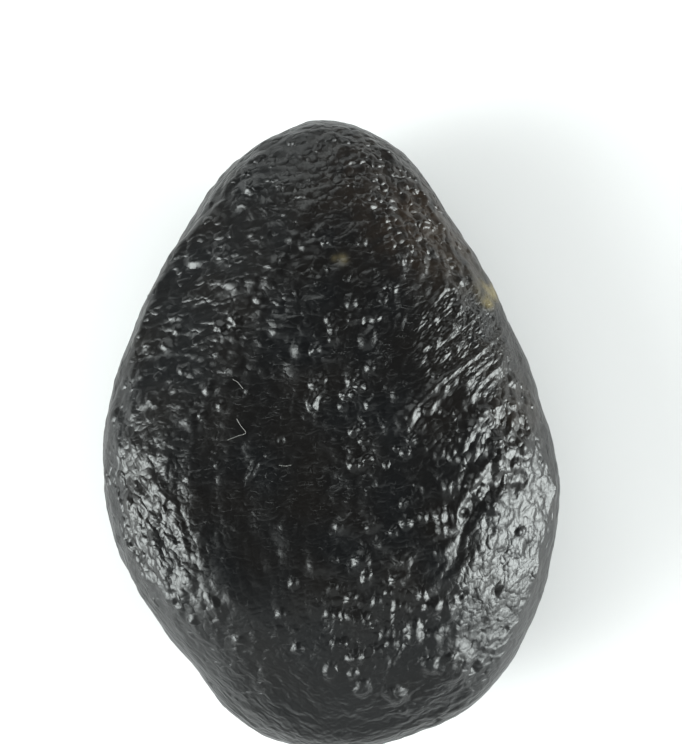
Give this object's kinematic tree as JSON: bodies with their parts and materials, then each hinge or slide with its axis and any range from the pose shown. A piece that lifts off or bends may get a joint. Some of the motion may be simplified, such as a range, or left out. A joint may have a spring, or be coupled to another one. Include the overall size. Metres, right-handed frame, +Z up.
{
  "type": "raw australite tektite",
  "caption": "Egg-shaped pebble of black natural glass with a wrinkled, pitted skin and a shallow hollow in its front face, lying on its back for display.",
  "frame": {"origin": "on the resting plane, under the middle of the pebble's box", "axes": "+Z up out of the etched front face, +Y along the length towards the narrow tip, +X to the right as seen from above"},
  "size_m": [0.0218, 0.03, 0.0122],
  "materials": {
    "tektite_glass": "opaque black natural glass with an etched satin sheen, brown where it is thin near the right of the tip"
  },
  "bodies": {
    "root": {"tektite": "tektite_glass"}
  },
  "joints": []
}
